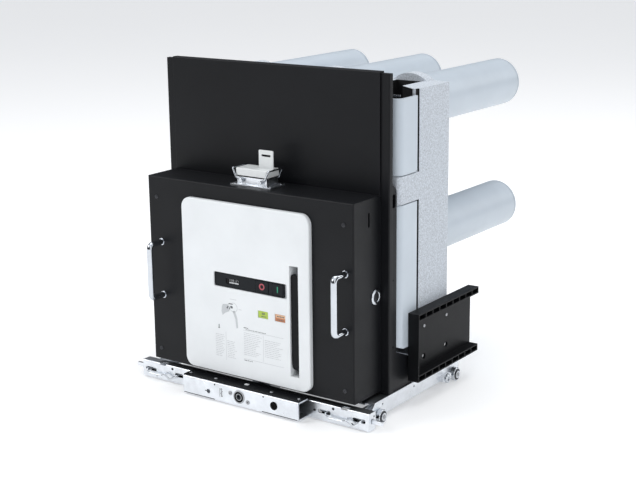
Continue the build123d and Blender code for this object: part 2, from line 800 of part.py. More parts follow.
# Shield: a folded plate behind the housing, and the panel in front of its upper half
def shield():
    half = shield_width / 2
    with BuildPart() as plate:
        block(-half, half, shield_depth, shield_depth + shield_flange, shield_bottom_z, shield_top_z)
        fillet(edges().filter_by(Axis.Z).group_by(Axis.Y)[0], radius=shield_sheet)
        block(-half + shield_sheet, half - shield_sheet, shield_depth + shield_sheet,
              shield_depth + shield_flange + 1, shield_bottom_z - 1, shield_top_z - shield_sheet,
              Mode.SUBTRACT)
    save(plate, "shield_plate")
    inner = housing_width / 2
    with BuildPart() as panel:
        block(-inner, inner, housing_depth, shield_depth, housing_bottom_z, shield_top_z + panel_sheet)
        block(-inner, inner, housing_depth, housing_depth + panel_fold, shield_top_z,
              shield_top_z + panel_sheet)
        fillet(edges().filter_by(Axis.X).group_by(Axis.Z)[-1].sort_by(Axis.Y)[0], radius=panel_sheet * 0.9)
    save(panel, "shield_panel")


# Mechanism frame: side plates, back plate and feet that carry the poles on the rails
def mechanism_frame():
    half = shield_width / 2 - shield_sheet - frame_side_clearance
    with BuildPart() as frame:
        with BuildSketch(side_plane(-half)):
            with BuildLine():
                Polyline(
                    (y_at(frame_front_depth), rail_top_z),
                    (y_at(foot_rear_depth), rail_top_z),
                    (y_at(foot_rear_depth), foot_top_z - foot_slope),
                    (y_at(frame_rear_depth), foot_top_z),
                    (y_at(frame_rear_depth), frame_top_z),
                    (y_at(frame_front_depth), frame_top_z),
                    close=True,
                )
            make_face()
            corner = vertices().group_by(Axis.Z)[-1].sort_by(Axis.Y)[-1]
            fillet(corner, radius=frame_corner_radius)
        extrude(amount=2 * half)
        block(-half + frame_sheet, half - frame_sheet, frame_front_depth - 1, frame_rear_depth - frame_sheet,
              rail_top_z + frame_sheet, frame_top_z + 1, Mode.SUBTRACT)
        block(-half + frame_sheet, half - frame_sheet, frame_rear_depth, foot_rear_depth + 1,
              rail_top_z + frame_sheet, frame_top_z + 1, Mode.SUBTRACT)
        for side in (-1, 1):
            with BuildSketch(side_plane(side * (half + 1))):
                with Locations((y_at((frame_front_depth + frame_rear_depth) / 2 + 3), frame_slot_z)):
                    SlotOverall(frame_slot_length, frame_slot_width, rotation=90)
            extrude(amount=-side * (frame_sheet + 2), mode=Mode.SUBTRACT)
    save(frame, "mechanism_frame")


# Shutter guides: moulded channels whose flanges are rows of ribbed cells
def shutter_guide(name, side):
    inner = side * (pole_pitch + pole_width / 2)
    outer = inner + side * guide_flange_width
    web_face = inner + side * guide_web
    rear = guide_front_depth + guide_length
    top = guide_bottom_z + guide_height
    cell = (guide_length - guide_rib) / guide_cells
    with BuildPart() as guide:
        low, high = sorted((inner, outer))
        block(low, high, guide_front_depth, rear, guide_bottom_z, top)
        low, high = sorted((web_face, outer + side))
        block(low, high, guide_front_depth + guide_rib, rear + 1, guide_bottom_z + guide_flange_height,
              top - guide_flange_height, Mode.SUBTRACT)
        for base in (guide_bottom_z, top - guide_flange_height):
            for step in range(guide_cells):
                start = guide_front_depth + guide_rib + step * cell
                block(low, high, start, start + cell - guide_rib, base + guide_rib,
                      base + guide_flange_height - guide_rib, Mode.SUBTRACT)
        for depth in (guide_hole_depth, guide_hole_depth + guide_hole_pitch):
            low, high = sorted((inner - side, web_face + side))
            rod_x(low, high, depth, guide_hole_z, guide_hole_radius, Mode.SUBTRACT)
    save(guide, name)


# Control connector on top of the housing
def control_connector():
    top = housing_top_z
    base_top = top + plug_base_height
    cover_low = base_top + plug_seal
    cover_top = cover_low + plug_cover_height
    base_half = plug_base_width / 2
    cover_half = base_half + plug_cover_overhang
    near = plug_depth - plug_base_depth / 2
    far = plug_depth + plug_base_depth / 2
    with BuildPart() as base:
        block(plug_x - plug_flange_width / 2, plug_x + plug_flange_width / 2,
              plug_depth - plug_flange_depth / 2, plug_depth + plug_flange_depth / 2, top,
              top + plug_flange_sheet)
        block(plug_x - base_half, plug_x + base_half, near, far, top, base_top)
        for side in (-1, 1):
            rod_y(plug_x + side * latch_pivot_x, near - latch_eye_gap - latch_eye_length,
                  far + latch_eye_gap + latch_eye_length, top + latch_pivot_height, latch_pin_radius)
    save(base, "connector_base")
    with BuildPart() as seal:
        block(plug_x - base_half + 1, plug_x + base_half - 1, near + 1, far - 1, base_top, cover_low)
    save(seal, "connector_seal")
    with BuildPart() as plug:
        block(plug_x - cover_half, plug_x + cover_half, near - plug_cover_overhang,
              far + plug_cover_overhang, cover_low, cover_top)
        fillet(edges().filter_by(Axis.Z), radius=3)
        fillet(faces().sort_by(Axis.Z)[-1].edges(), radius=1.5)
    save(plug, "connector_plug")
    with BuildPart() as tab:
        block(tab_x - tab_width / 2, tab_x + tab_width / 2, plug_depth, plug_depth + tab_sheet, cover_top,
              cover_top + tab_height)
        fillet(edges().filter_by(Axis.Y).group_by(Axis.Z)[-1], radius=2)
        block(tab_x - tab_slot_width / 2, tab_x + tab_slot_width / 2, plug_depth - 1,
              plug_depth + tab_sheet + 1, cover_top + tab_height - tab_slot_drop - tab_slot_height,
              cover_top + tab_height - tab_slot_drop, Mode.SUBTRACT)
        block(tab_x - tab_width / 2, tab_x + tab_width / 2, plug_depth, plug_depth + tab_foot, cover_top,
              cover_top + tab_sheet)
    save(tab, "connector_tab")
    pivot_x = plug_x + latch_pivot_x
    pivot_z = top + latch_pivot_height
    outer_x = plug_x + cover_half + latch_end_gap
    leg_near = y_at(near - latch_eye_gap - latch_eye_length / 2)
    leg_far = y_at(far + latch_eye_gap + latch_eye_length / 2)
    for name in sides:
        with BuildPart() as latch:
            wire(
                (
                    (pivot_x, leg_near, pivot_z),
                    (pivot_x + latch_elbow, leg_near, pivot_z + latch_elbow / 2),
                    (outer_x, leg_near, cover_top),
                    (outer_x, leg_far, cover_top),
                    (pivot_x + latch_elbow, leg_far, pivot_z + latch_elbow / 2),
                    (pivot_x, leg_far, pivot_z),
                ),
                latch_wire_radius,
                3.0,
            )
            for leg_depth in (near - latch_eye_gap - latch_eye_length, far + latch_eye_gap):
                rod_y(pivot_x, leg_depth, leg_depth + latch_eye_length, pivot_z, latch_eye_radius)
            rod_y(pivot_x, near - latch_eye_length * 3, far + latch_eye_length * 3, pivot_z,
                  latch_pin_radius + axle_clearance, Mode.SUBTRACT)
            if name == "left":
                mirror(about=Plane.YZ.offset(plug_x), mode=Mode.REPLACE)
        save(latch, f"connector_latch_{name}")


for place, centre_x in pole_centres.items():
    pole_housing(f"pole_housing_{place}", centre_x)
    pole_cover(f"pole_cover_{place}", centre_x)
    arm_tube(f"upper_arm_tube_{place}", centre_x, upper_arm_z)
    arm_tube(f"lower_arm_tube_{place}", centre_x, lower_arm_z)
    tulip_contact(f"upper_contact_{place}", centre_x, upper_arm_z)
    tulip_contact(f"lower_contact_{place}", centre_x, lower_arm_z)

for place, hand in sides.items():
    side_rail(f"side_rail_{place}", hand)
    wheel(f"front_wheel_{place}", hand, front_wheel_depth)
    wheel(f"rear_wheel_{place}", hand, rear_wheel_depth)
    slide_bolt(f"slide_bolt_{place}", hand)
    grab_handle(f"grab_handle_{place}", hand)
    shutter_guide(f"shutter_guide_{place}", hand)

truck_deck()
front_beam()
racking_housing()
racking_screw()
mechanism_housing()
front_cover()
front_fittings()
charging_lever()
side_lock()
shield()
mechanism_frame()
control_connector()
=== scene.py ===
"""Looks for the withdrawable vacuum circuit breaker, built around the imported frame, in metres."""
import json
import math
import random

import bmesh
import bpy
from mathutils import Matrix, Vector


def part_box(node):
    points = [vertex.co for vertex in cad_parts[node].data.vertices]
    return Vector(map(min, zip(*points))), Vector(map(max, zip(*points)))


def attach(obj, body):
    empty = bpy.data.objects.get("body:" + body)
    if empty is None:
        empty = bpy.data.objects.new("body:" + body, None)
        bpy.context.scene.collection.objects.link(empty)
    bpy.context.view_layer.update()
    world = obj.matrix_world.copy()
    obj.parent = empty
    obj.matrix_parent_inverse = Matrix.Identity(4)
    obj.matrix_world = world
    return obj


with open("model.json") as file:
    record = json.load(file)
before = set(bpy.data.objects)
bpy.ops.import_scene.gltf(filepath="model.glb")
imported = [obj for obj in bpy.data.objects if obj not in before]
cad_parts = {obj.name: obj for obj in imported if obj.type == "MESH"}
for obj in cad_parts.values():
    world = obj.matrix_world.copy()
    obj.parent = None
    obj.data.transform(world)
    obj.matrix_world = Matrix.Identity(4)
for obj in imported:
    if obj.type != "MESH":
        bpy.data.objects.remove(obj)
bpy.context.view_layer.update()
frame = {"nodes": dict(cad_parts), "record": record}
MM = 0.001

# Photograph and camera
PHOTO_WIDTH = 636
PHOTO_HEIGHT = 477
CAMERA_PLACE = Vector((1.2208, -1.7704, 0.7551))
CAMERA_AZIMUTH = math.radians(35.43)
CAMERA_ELEVATION = math.radians(14.14)
CAMERA_ROLL = math.radians(-0.62)
FOCAL_PIXELS = 1335.8
SENSOR = 36.0


def low(node):
    """Lowest corner of a node."""
    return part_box(node)[0]


def high(node):
    """Highest corner of a node."""
    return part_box(node)[1]


def middle(node):
    """Centre of a node's box."""
    return (low(node) + high(node)) / 2


FRONT_Y = low("mechanism_housing").y
COVER_Y = low("front_cover").y


# Shader helpers
class Recipe:
    """A material under construction: one Principled shader and short calls for what feeds it."""

    def __init__(self, name, color, roughness, metallic=0.0):
        self.material = bpy.data.materials.new(name)
        self.material.use_nodes = True
        self.tree = self.material.node_tree
        self.shader = self.tree.nodes["Principled BSDF"]
        self.coords = self.tree.nodes.new("ShaderNodeTexCoord")
        self.color = color
        self.shader.inputs["Base Color"].default_value = (*color, 1.0)
        self.shader.inputs["Roughness"].default_value = roughness
        self.shader.inputs["Metallic"].default_value = metallic
        self.heights = []
        self.material.diffuse_color = (*color, 1.0)

    def link(self, a, b):
        self.tree.links.new(a, b)

    def stretched(self, scale):
        node = self.tree.nodes.new("ShaderNodeMapping")
        node.inputs["Scale"].default_value = scale
        self.link(self.coords.outputs["Object"], node.inputs["Vector"])
        return node.outputs["Vector"]

    def noise(self, scale, detail=4.0, roughness=0.55, stretch=None):
        node = self.tree.nodes.new("ShaderNodeTexNoise")
        node.inputs["Scale"].default_value = scale
        node.inputs["Detail"].default_value = detail
        node.inputs["Roughness"].default_value = roughness
        source = self.coords.outputs["Object"] if stretch is None else self.stretched(stretch)
        self.link(source, node.inputs["Vector"])
        return node.outputs["Fac"]

    def ramp(self, source, stops):
        node = self.tree.nodes.new("ShaderNodeValToRGB")
        node.color_ramp.elements[0].position = stops[0][0]
        node.color_ramp.elements[0].color = (*stops[0][1], 1.0)
        node.color_ramp.elements[1].position = stops[-1][0]
        node.color_ramp.elements[1].color = (*stops[-1][1], 1.0)
        for place, color in stops[1:-1]:
            element = node.color_ramp.elements.new(place)
            element.color = (*color, 1.0)
        self.link(source, node.inputs["Fac"])
        return node.outputs["Color"]

    def span(self, source, low_value, high_value):
        node = self.tree.nodes.new("ShaderNodeMapRange")
        node.inputs["To Min"].default_value = low_value
        node.inputs["To Max"].default_value = high_value
        self.link(source, node.inputs["Value"])
        return node.outputs["Result"]

    def tint(self, source, dark, light):
        """Colour varies between two multiples of the base colour."""
        stops = ((0.3, tuple(c * dark for c in self.color)), (0.7, tuple(c * light for c in self.color)))
        self.link(self.ramp(source, stops), self.shader.inputs["Base Color"])

    def rough(self, source, low_value, high_value):
        self.link(self.span(source, low_value, high_value), self.shader.inputs["Roughness"])

    def relief(self, source, depth):
        """Fine surface relief, depth in metres, on top of softly rounded edges."""
        self.heights.append((source, depth))

    def finish(self, edge=0.0006):
        bevel = self.tree.nodes.new("ShaderNodeBevel")
        bevel.samples = 6
        bevel.inputs["Radius"].default_value = edge
        normal = bevel.outputs["Normal"]
        for source, depth in self.heights:
            bump = self.tree.nodes.new("ShaderNodeBump")
            bump.inputs["Distance"].default_value = depth
            bump.inputs["Strength"].default_value = 1.0
            self.link(source, bump.inputs["Height"])
            self.link(normal, bump.inputs["Normal"])
            normal = bump.outputs["Normal"]
        self.link(normal, self.shader.inputs["Normal"])
        return self.material


def powder_coat(name, color):
    coat = Recipe(name, color, 0.42)
    coat.tint(coat.noise(9.0, 5.0), 0.86, 1.14)
    coat.rough(coat.noise(26.0, 6.0), 0.36, 0.50)
    coat.relief(coat.noise(1400.0, 2.0), 0.00006)
    coat.relief(coat.noise(260.0, 2.0), 0.00004)
    coat.shader.inputs["Specular IOR Level"].default_value = 0.2
    return coat.finish(0.0009)


def zinc_plate(name, color, stretch=(1.0, 9.0, 1.0)):
    plate = Recipe(name, color, 0.3, 1.0)
    plate.tint(plate.noise(38.0, 6.0, 0.6), 0.86, 1.06)
    plate.rough(plate.noise(70.0, 5.0, 0.6), 0.20, 0.42)
    plate.relief(plate.noise(420.0, 3.0, 0.5, stretch), 0.00003)
    return plate.finish(0.0005)


def bright_metal(name, color, roughness):
    metal = Recipe(name, color, roughness, 1.0)
    metal.tint(metal.noise(60.0, 3.0), 0.95, 1.03)
    metal.rough(metal.noise(45.0, 5.0), roughness * 0.7, roughness * 1.5)
    metal.relief(metal.noise(900.0, 2.0), 0.000008)
    return metal.finish(0.0004)


def moulding(name, color, roughness, grain=700.0, depth=0.00003, edge=0.0007):
    plastic = Recipe(name, color, roughness)
    plastic.shader.inputs["Specular IOR Level"].default_value = 0.5 if max(color) > 0.05 else 0.13
    plastic.tint(plastic.noise(14.0, 4.0), 0.965, 1.03)
    plastic.rough(plastic.noise(34.0, 5.0), roughness * 0.86, roughness * 1.16)
    plastic.relief(plastic.noise(grain, 2.0), depth)
    return plastic.finish(edge)


# Open spaces of a pole, in metres: half widths from its middle and depths behind the housing's front
MOUTH_HALF = 0.0526
MOUTH_DEPTH = 0.1662
CHIMNEY_HALF = 0.0233
CHIMNEY_DEPTH = 0.2243


def chamber_shade_mask(recipe):
    """Mask for painted shade: one in the open chambers, chimneys and side grooves of the three poles, nought
    elsewhere.
    """
    tree = recipe.tree
    split = tree.nodes.new("ShaderNodeSeparateXYZ")
    recipe.link(recipe.coords.outputs["Object"], split.inputs["Vector"])

    def step(operation, first, second):
        node = tree.nodes.new("ShaderNodeMath")
        node.operation = operation
        for index, value in enumerate((first, second)):
            if isinstance(value, (int, float)):
                node.inputs[index].default_value = value
            else:
                recipe.link(value, node.inputs[index])
        return node.outputs["Value"]

    shifted = step("ADD", split.outputs["X"], 0.675)
    folded = step("SUBTRACT", step("FLOORED_MODULO", shifted, 0.150), 0.075)
    aside = step("ABSOLUTE", folded, 0.0)
    depth = step("SUBTRACT", split.outputs["Y"], FRONT_Y)
    mouth = step("MULTIPLY", step("LESS_THAN", aside, MOUTH_HALF), step("LESS_THAN", depth, MOUTH_DEPTH))
    narrow = step("LESS_THAN", aside, CHIMNEY_HALF)
    chimney = step("MULTIPLY", narrow, step("LESS_THAN", depth, CHIMNEY_DEPTH))
    inside = step("MAXIMUM", mouth, chimney)
    groove_side = step("MULTIPLY", step("GREATER_THAN", aside, 0.0580), step("LESS_THAN", aside, 0.0613))
    groove_depth = step("MULTIPLY", step("GREATER_THAN", depth, 0.1440), step("LESS_THAN", depth, 0.1514))
    groove = step("MULTIPLY", groove_side, groove_depth)
    below_top = step("LESS_THAN", split.outputs["Z"], 0.4876)
    above_band = step("GREATER_THAN", split.outputs["Z"], 0.3645)
    hollow = step("MULTIPLY", inside, step("MULTIPLY", below_top, above_band))
    return step("MAXIMUM", hollow, groove)


def speckled_moulding(name, color):
    """Filled resin: fine pale and dark flecks under a lightly pebbled surface, with painted shade near black
    in the open chambers, chimneys and side grooves.
    """
    resin = Recipe(name, color, 0.6)
    flecks = resin.ramp(
        resin.noise(400.0, 3.0, 0.7),
        (
            (0.36, tuple(c * 0.74 for c in color)),
            (0.47, tuple(c * 0.95 for c in color)),
            (0.55, tuple(c * 1.04 for c in color)),
            (0.66, tuple(min(1.0, c * 1.24) for c in color)),
        ),
    )
    # Painted shade: the resin colour goes near black inside the open chambers, chimneys and side grooves,
    # where they lie in shade.
    shade = resin.tree.nodes.new("ShaderNodeMix")
    shade.data_type = "RGBA"
    resin.link(chamber_shade_mask(resin), shade.inputs["Factor"])
    resin.link(flecks, shade.inputs["A"])
    shade.inputs["B"].default_value = (0.004, 0.004, 0.005, 1.0)
    resin.link(shade.outputs["Result"], resin.shader.inputs["Base Color"])
    resin.rough(resin.noise(220.0, 4.0), 0.5, 0.75)
    resin.relief(resin.noise(520.0, 3.0, 0.65), 0.00018)
    resin.relief(resin.noise(90.0, 3.0), 0.00012)
    return resin.finish(0.0012)


MATERIALS = {
    "black_coat": powder_coat("black_coat_finish", (0.0066, 0.0072, 0.0088)),
    "zinc_steel": zinc_plate("zinc_steel_finish", (0.80, 0.83, 0.87)),
    "bright_chrome": bright_metal("bright_chrome_finish", (0.60, 0.63, 0.67), 0.11),
    "white_cover": moulding("white_cover_finish", (0.80, 0.825, 0.84), 0.34),
    "pole_resin": moulding("pole_resin_finish", (0.54, 0.60, 0.66), 0.38, 300.0, 0.00005, 0.0015),
    "speckled_resin": speckled_moulding("speckled_resin_finish", (0.54, 0.58, 0.63)),
    "arm_sleeve": moulding("arm_sleeve_finish", (0.52, 0.58, 0.64), 0.36, 240.0, 0.00004, 0.0012),
    "silver_copper": bright_metal("silver_copper_finish", (0.86, 0.84, 0.79), 0.22),
    "black_plastic": moulding("black_plastic_finish", (0.0060, 0.0064, 0.0075), 0.42, 1100.0, 0.00007),
    "strip_black": moulding("strip_black_finish", (0.0110, 0.0130, 0.0160), 0.34),
    "counter_black": moulding("counter_black_finish", (0.004, 0.004, 0.005), 0.12),
    "green_window": moulding("green_window_finish", (0.42, 0.56, 0.07), 0.3),
    "orange_window": moulding("orange_window_finish", (0.52, 0.20, 0.085), 0.3),
    "steel": bright_metal("steel_finish", (0.42, 0.43, 0.45), 0.26),
    "connector_shell": moulding("connector_shell_finish", (0.74, 0.76, 0.76), 0.36),
    "seal_rubber": moulding("seal_rubber_finish", (0.010, 0.010, 0.011), 0.7),
}
SLOT_OF_NODE = {part["node"]: part["material_slot"] for part in frame["record"]["subparts"]}


def dress(obj, material):
    obj.data.materials.clear()
    obj.data.materials.append(material)


def soften(obj, angle=35.0):
    """Smooth shading with sharp edges kept above the angle."""
    mesh = obj.data
    mesh.shade_smooth()
    mesh.set_sharp_from_angle(angle=math.radians(angle))


def dress_frame():
    for node, obj in frame["nodes"].items():
        dress(obj, MATERIALS[SLOT_OF_NODE[node]])


# Small pieces: each call makes one mesh that rides on a body
def piece(name, mesh_maker, body, slot, material=None, smooth=35.0):
    mesh = bpy.data.meshes.new(name)
    work = bmesh.new()
    mesh_maker(work)
    bmesh.ops.recalc_face_normals(work, faces=work.faces)
    work.to_mesh(mesh)
    work.free()
    obj = bpy.data.objects.new(name, mesh)
    bpy.context.scene.collection.objects.link(obj)
    dress(obj, material or MATERIALS[slot])
    soften(obj, smooth)
    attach(obj, body)
    return obj


def axis_matrix(place, axis):
    """A matrix that stands local Z along axis at place."""
    return Matrix.Translation(place) @ Vector(axis).to_track_quat("Z", "Y").to_matrix().to_4x4()


def turned(work, place, axis, outline, segments=32):
    """A solid of revolution from (radius, height) points that start and end on the axis."""
    matrix = axis_matrix(place, axis)
    rings = []
    for radius, height in outline:
        if radius < 1e-7:
            rings.append([work.verts.new(matrix @ Vector((0, 0, height)))])
        else:
            ring = []
            for step in range(segments):
                angle = 2 * math.pi * step / segments
                point = Vector((radius * math.cos(angle), radius * math.sin(angle), height))
                ring.append(work.verts.new(matrix @ point))
            rings.append(ring)
    for first, second in zip(rings, rings[1:]):
        for step in range(segments):
            nearby = (step + 1) % segments
            corners = [first[step % len(first)], first[nearby % len(first)],
                       second[nearby % len(second)], second[step % len(second)]]
            unique = list(dict.fromkeys(corners))
            if len(unique) > 2:
                work.faces.new(unique)


def ring(work, place, axis, inner, outer, base, top, bevel, segments=40):
    """A washer with softened corners."""
    matrix = axis_matrix(place, axis)
    outline = [
        (inner, base), (outer, base), (outer, top - bevel), (outer - bevel, top),
        (inner + bevel, top), (inner, top - bevel),
    ]
    loops = []
    for radius, height in outline:
        loop = []
        for step in range(segments):
            angle = 2 * math.pi * step / segments
            point = Vector((radius * math.cos(angle), radius * math.sin(angle), height))
            loop.append(work.verts.new(matrix @ point))
        loops.append(loop)
    for index, first in enumerate(loops):
        second = loops[(index + 1) % len(loops)]
        for step in range(segments):
            nearby = (step + 1) % segments
            work.faces.new((first[step], first[nearby], second[nearby], second[step]))


def slab(work, low_corner, high_corner, bevel=0.0):
    """A box given by its corners."""
    size = Vector(high_corner) - Vector(low_corner)
    place = (Vector(high_corner) + Vector(low_corner)) / 2
    made = bmesh.ops.create_cube(work, size=1.0)
    for vert in made["verts"]:
        vert.co = Vector((vert.co.x * size.x, vert.co.y * size.y, vert.co.z * size.z)) + place
    if bevel > 0:
        edges = {edge for vert in made["verts"] for edge in vert.link_edges}
        bmesh.ops.bevel(work, geom=list(edges), offset=bevel, segments=2, affect="EDGES")


def disc(work, place, axis, radius, height, segments=16):
    """A thin round plate that stands on place."""
    turned(work, place, axis, ((0, 0), (radius, 0), (radius, height), (0, height)), segments)


def pan_screw(work, place, axis, radius, height):
    """A pan-head screw with a cross recess shown as a dished centre."""
    turned(work, place, axis, (
        (0, 0), (radius, 0), (radius, height * 0.45), (radius * 0.86, height * 0.85),
        (radius * 0.55, height), (radius * 0.30, height), (radius * 0.22, height * 0.45),
        (0, height * 0.40),
    ), 20)


def camera():
    forward = Vector((
        -math.sin(CAMERA_AZIMUTH) * math.cos(CAMERA_ELEVATION),
        math.cos(CAMERA_AZIMUTH) * math.cos(CAMERA_ELEVATION),
        -math.sin(CAMERA_ELEVATION),
    ))
    right = forward.cross(Vector((0, 0, 1))).normalized()
    up = right.cross(forward)
    level = Matrix((right, up, -forward)).transposed().to_4x4()
    data = bpy.data.cameras.new("camera")
    data.sensor_width = SENSOR
    data.lens = FOCAL_PIXELS * SENSOR / PHOTO_WIDTH
    data.clip_start = 0.05
    view = bpy.data.objects.new("camera", data)
    view.matrix_world = Matrix.Translation(CAMERA_PLACE) @ level @ Matrix.Rotation(CAMERA_ROLL, 4, "Z")
    bpy.context.scene.collection.objects.link(view)
    bpy.context.scene.camera = view


def area_light(name, place, target, width, height, power):
    data = bpy.data.lights.new(name, "AREA")
    data.shape = "RECTANGLE"
    data.size = width
    data.size_y = height
    data.energy = power
    lamp = bpy.data.objects.new(name, data)
    lamp.location = place
    lamp.rotation_euler = (Vector(target) - Vector(place)).to_track_quat("-Z", "Y").to_euler()
    bpy.context.scene.collection.objects.link(lamp)


def studio():
    """Pale floor, white backdrop for the camera and soft lights all round."""
    world = bpy.data.worlds.new("studio")
    bpy.context.scene.world = world
    world.use_nodes = True
    tree = world.node_tree
    background = tree.nodes["Background"]
    place = tree.nodes.new("ShaderNodeTexCoord")
    height = tree.nodes.new("ShaderNodeSeparateXYZ")
    tree.links.new(place.outputs["Generated"], height.inputs["Vector"])
    sky = tree.nodes.new("ShaderNodeValToRGB")
    sky.color_ramp.elements[0].position = 0.02
    sky.color_ramp.elements[0].color = (0.05, 0.05, 0.055, 1)
    sky.color_ramp.elements[1].position = 0.62
    sky.color_ramp.elements[1].color = (0.72, 0.74, 0.77, 1)
    mirrored = tree.nodes.new("ShaderNodeValToRGB")
    mirrored.color_ramp.elements[0].position = 0.46
    mirrored.color_ramp.elements[0].color = (0.03, 0.03, 0.035, 1)
    mirrored.color_ramp.elements[1].position = 0.66
    mirrored.color_ramp.elements[1].color = (0.80, 0.83, 0.87, 1)
    for ramp in (sky, mirrored):
        tree.links.new(height.outputs["Z"], ramp.inputs["Fac"])
    rays = tree.nodes.new("ShaderNodeLightPath")
    shown = None
    for ray, source in (("Is Glossy Ray", mirrored.outputs["Color"]), ("Is Camera Ray", None)):
        mixed = tree.nodes.new("ShaderNodeMix")
        mixed.data_type = "RGBA"
        tree.links.new(rays.outputs[ray], mixed.inputs["Factor"])
        tree.links.new(sky.outputs["Color"] if shown is None else shown, mixed.inputs["A"])
        if source is None:
            mixed.inputs["B"].default_value = (1, 1, 1, 1)
        else:
            tree.links.new(source, mixed.inputs["B"])
        shown = mixed.outputs["Result"]
    tree.links.new(shown, background.inputs["Color"])
    background.inputs["Strength"].default_value = 1.0

    floor_mesh = bpy.data.meshes.new("floor")
    reach = 14.0
    floor_mesh.from_pydata(
        [(-reach, -reach, 0), (reach, -reach, 0), (reach, reach, 0), (-reach, reach, 0)], [], [(0, 1, 2, 3)])
    floor = bpy.data.objects.new("floor", floor_mesh)
    bpy.context.scene.collection.objects.link(floor)
    paint = Recipe("floor_finish", (0.90, 0.90, 0.90), 0.6)
    paint.tint(paint.noise(1.2, 2.0), 0.995, 1.005)
    paint.shader.inputs["Emission Color"].default_value = (1.0, 1.0, 1.0, 1.0)
    paint.shader.inputs["Emission Strength"].default_value = 0.24
    dress(floor, paint.finish(0.0))

    target = (0, 0, 0.25)
    area_light("key", (-2.3, -2.6, 2.6), target, 1.8, 1.8, 52)
    area_light("fill", (2.9, -1.5, 1.4), target, 1.6, 2.0, 15)
    area_light("top", (0.2, 0.4, 3.0), target, 2.6, 2.6, 37)
    area_light("back", (1.8, 2.6, 1.6), target, 1.6, 1.6, 14)


def render_settings():
    scene = bpy.context.scene
    scene.render.engine = "CYCLES"
    scene.cycles.samples = 160
    scene.cycles.use_denoising = True
    scene.render.resolution_x = PHOTO_WIDTH
    scene.render.resolution_y = PHOTO_HEIGHT
    scene.render.resolution_percentage = 100
    scene.view_settings.view_transform = "Standard"
    scene.view_settings.look = "None"
    scene.view_settings.exposure = 0.0


# Finishes for small pieces
EXTRA = {
    "dark_screw": bright_metal("dark_screw_finish", (0.060, 0.062, 0.068), 0.38),
    "print_grey": moulding("print_grey_finish", (0.55, 0.57, 0.59), 0.5),
    "print_dark": moulding("print_dark_finish", (0.10, 0.11, 0.12), 0.5),
    "mark_red": moulding("mark_red_finish", (0.42, 0.075, 0.095), 0.4),
    "mark_green": moulding("mark_green_finish", (0.010, 0.30, 0.16), 0.4),
    "mark_white": moulding("mark_white_finish", (0.82, 0.84, 0.86), 0.4),
    "peach": moulding("peach_finish", (0.80, 0.50, 0.31), 0.35),
    # Matt black serves real black parts, the plug and the rubber collar, and also painted shade in holes,
    # recesses, slots and pole chambers.
    "matt_black": moulding("matt_black_finish", (0.0035, 0.0035, 0.004), 0.8),
}
FORWARD = (0, -1, 0)
UP = (0, 0, 1)
OUTWARD = {"left": (-1, 0, 0), "right": (1, 0, 0)}
SIGN = {"left": -1, "right": 1}
POLES = {"left": -0.150, "middle": 0.0, "right": 0.150}


def at(x, depth, z):
    """A place from its X, its depth behind the housing's front face and its height, in millimetres."""
    return Vector((x * MM, FRONT_Y + depth * MM, z * MM))


def flat(work, x_min, x_max, z_min, z_max, face_y, proud):
    """A thin upright tile on a face that looks to the front."""
    slab(work, (x_min * MM, face_y - proud * MM, z_min * MM), (x_max * MM, face_y + 0.0002, z_max * MM))


# Text and pictures on the cover are plain marks without words
def printed_rows(work, x_min, x_max, z_top, rows, pitch, height, seed):
    dice = random.Random(seed)
    for row in range(rows):
        z = z_top - row * pitch
        x = x_min
        end = x_max - dice.uniform(0, 0.35) * (x_max - x_min)
        while x < end:
            width = min(dice.uniform(1.6, 6.0), end - x)
            if width > 0.5:
                flat(work, x, x + width, z - height, z, COVER_Y, 0.04)
            x += width + 0.9


def printed_text(work):
    row_pitch = 2.9
    row_height = 0.75
    for x_min, x_max, z_top, rows, seed in (
        (-59, -41, 106, 13, 3), (-36, -17, 98, 10, 5), (-3, 32, 117, 13, 7), (37, 73, 112, 10, 11),
    ):
        printed_rows(work, x_min, x_max, z_top, rows, row_pitch, row_height, seed)
    flat(work, -4, 73, 120.5, 121.0, COVER_Y, 0.04)
    flat(work, -4, 73, 74.5, 75.0, COVER_Y, 0.04)
    flat(work, -38.6, -38.1, 66, 112, COVER_Y, 0.04)
    flat(work, 34.3, 34.8, 76, 119, COVER_Y, 0.04)


def printed_titles(work):
    printed_rows(work, -3, 10, 125.5, 1, 3, 1.3, 2)
    printed_rows(work, 1, 44, 122.9, 1, 3, 0.8, 4)
    printed_rows(work, -3, 20, 73, 1, 3, 0.9, 6)
    flat(work, -52.3, -50.9, 117.5, 122, COVER_Y, 0.05)
    flat(work, -53.4, -49.8, 115.8, 117.2, COVER_Y, 0.05)


def polygon(work, points, face_y, proud):
    """A thin flat shape on a face that looks to the front, from (x, z) points."""
    front = [work.verts.new((x * MM, face_y - proud * MM, z * MM)) for x, z in points]
    rear = [work.verts.new((x * MM, face_y + 0.0001, z * MM)) for x, z in points]
    work.faces.new(front)
    work.faces.new(list(reversed(rear)))
    for index in range(len(points)):
        after = (index + 1) % len(points)
        work.faces.new((front[index], rear[index], rear[after], front[after]))


def picture_pale(work):
    polygon(work, (
        (-45, 152), (-43, 156), (-33, 157), (-29, 151), (-31, 146), (-38, 143), (-44, 138), (-46, 144),
    ), COVER_Y, 0.03)
    polygon(work, ((-24, 147), (-20, 149), (-15, 138), (-14, 122), (-17, 121), (-19, 136)), COVER_Y, 0.03)
    ring(work, Vector((-0.022, COVER_Y + 0.0001, 0.1535)), FORWARD, 0.0068, 0.0075, 0, 0.00013, 0.00001)
    flat(work, -29, -16, 166.0, 166.7, COVER_Y, 0.03)
    flat(work, -12, -6, 151.8, 152.4, COVER_Y, 0.03)


